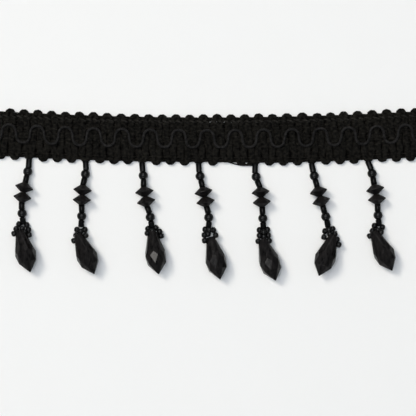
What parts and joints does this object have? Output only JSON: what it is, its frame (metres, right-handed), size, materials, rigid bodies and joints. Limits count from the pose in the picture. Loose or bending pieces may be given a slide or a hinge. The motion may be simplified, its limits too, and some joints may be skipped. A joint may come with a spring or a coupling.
{
  "type": "beaded fringe",
  "caption": "Cut length of black beaded fringe: a scalloped gimp braid with a scroll cord on its face, and strings of beads that end in faceted teardrops, lying face up.",
  "frame": {"origin": "centre of the braid's flat back, on the surface it lies on", "axes": "+X along the trim, +Y towards the braid's upper edge and away from the drops, +Z out of its face"},
  "size_m": [0.1906, 0.0765, 0.0094],
  "materials": {
    "black_gimp_braid": "dull ribbed gimp yarn",
    "black_scroll_cord": "smooth wrapped cord, a little lustrous",
    "black_bugles_on_thread": "glossy tubes on a thin black thread",
    "black_round_beads": "glossy, opaque",
    "black_lozenge_beads": "glossy, opaque, faceted",
    "black_seed_beads": "glossy, opaque",
    "black_faceted_teardrops": "glossy, faceted"
  },
  "bodies": {
    "root": {"header": "black_gimp_braid", "scroll_cord": "black_scroll_cord", "strand_1": "black_bugles_on_thread", "strand_2": "black_bugles_on_thread", "strand_3": "black_bugles_on_thread", "strand_4": "black_bugles_on_thread", "strand_5": "black_bugles_on_thread", "strand_6": "black_bugles_on_thread", "strand_7": "black_bugles_on_thread", "round_upper_1": "black_round_beads", "round_upper_2": "black_round_beads", "round_upper_3": "black_round_beads", "round_upper_4": "black_round_beads", "round_upper_5": "black_round_beads", "round_upper_6": "black_round_beads", "round_upper_7": "black_round_beads", "round_lower_1": "black_round_beads", "round_lower_2": "black_round_beads", "round_lower_3": "black_round_beads", "round_lower_4": "black_round_beads", "round_lower_5": "black_round_beads", "round_lower_6": "black_round_beads", "round_lower_7": "black_round_beads", "lozenge_upper_1": "black_lozenge_beads", "lozenge_upper_2": "black_lozenge_beads", "lozenge_upper_3": "black_lozenge_beads", "lozenge_upper_4": "black_lozenge_beads", "lozenge_upper_5": "black_lozenge_beads", "lozenge_upper_6": "black_lozenge_beads", "lozenge_upper_7": "black_lozenge_beads", "lozenge_lower_1": "black_lozenge_beads", "lozenge_lower_2": "black_lozenge_beads", "lozenge_lower_3": "black_lozenge_beads", "lozenge_lower_4": "black_lozenge_beads", "lozenge_lower_5": "black_lozenge_beads", "lozenge_lower_6": "black_lozenge_beads", "lozenge_lower_7": "black_lozenge_beads", "seed_collar_1": "black_seed_beads", "seed_collar_2": "black_seed_beads", "seed_collar_3": "black_seed_beads", "seed_collar_4": "black_seed_beads", "seed_collar_5": "black_seed_beads", "seed_collar_6": "black_seed_beads", "seed_collar_7": "black_seed_beads", "teardrop_1": "black_faceted_teardrops", "teardrop_2": "black_faceted_teardrops", "teardrop_3": "black_faceted_teardrops", "teardrop_4": "black_faceted_teardrops", "teardrop_5": "black_faceted_teardrops", "teardrop_6": "black_faceted_teardrops", "teardrop_7": "black_faceted_teardrops"}
  },
  "joints": []
}
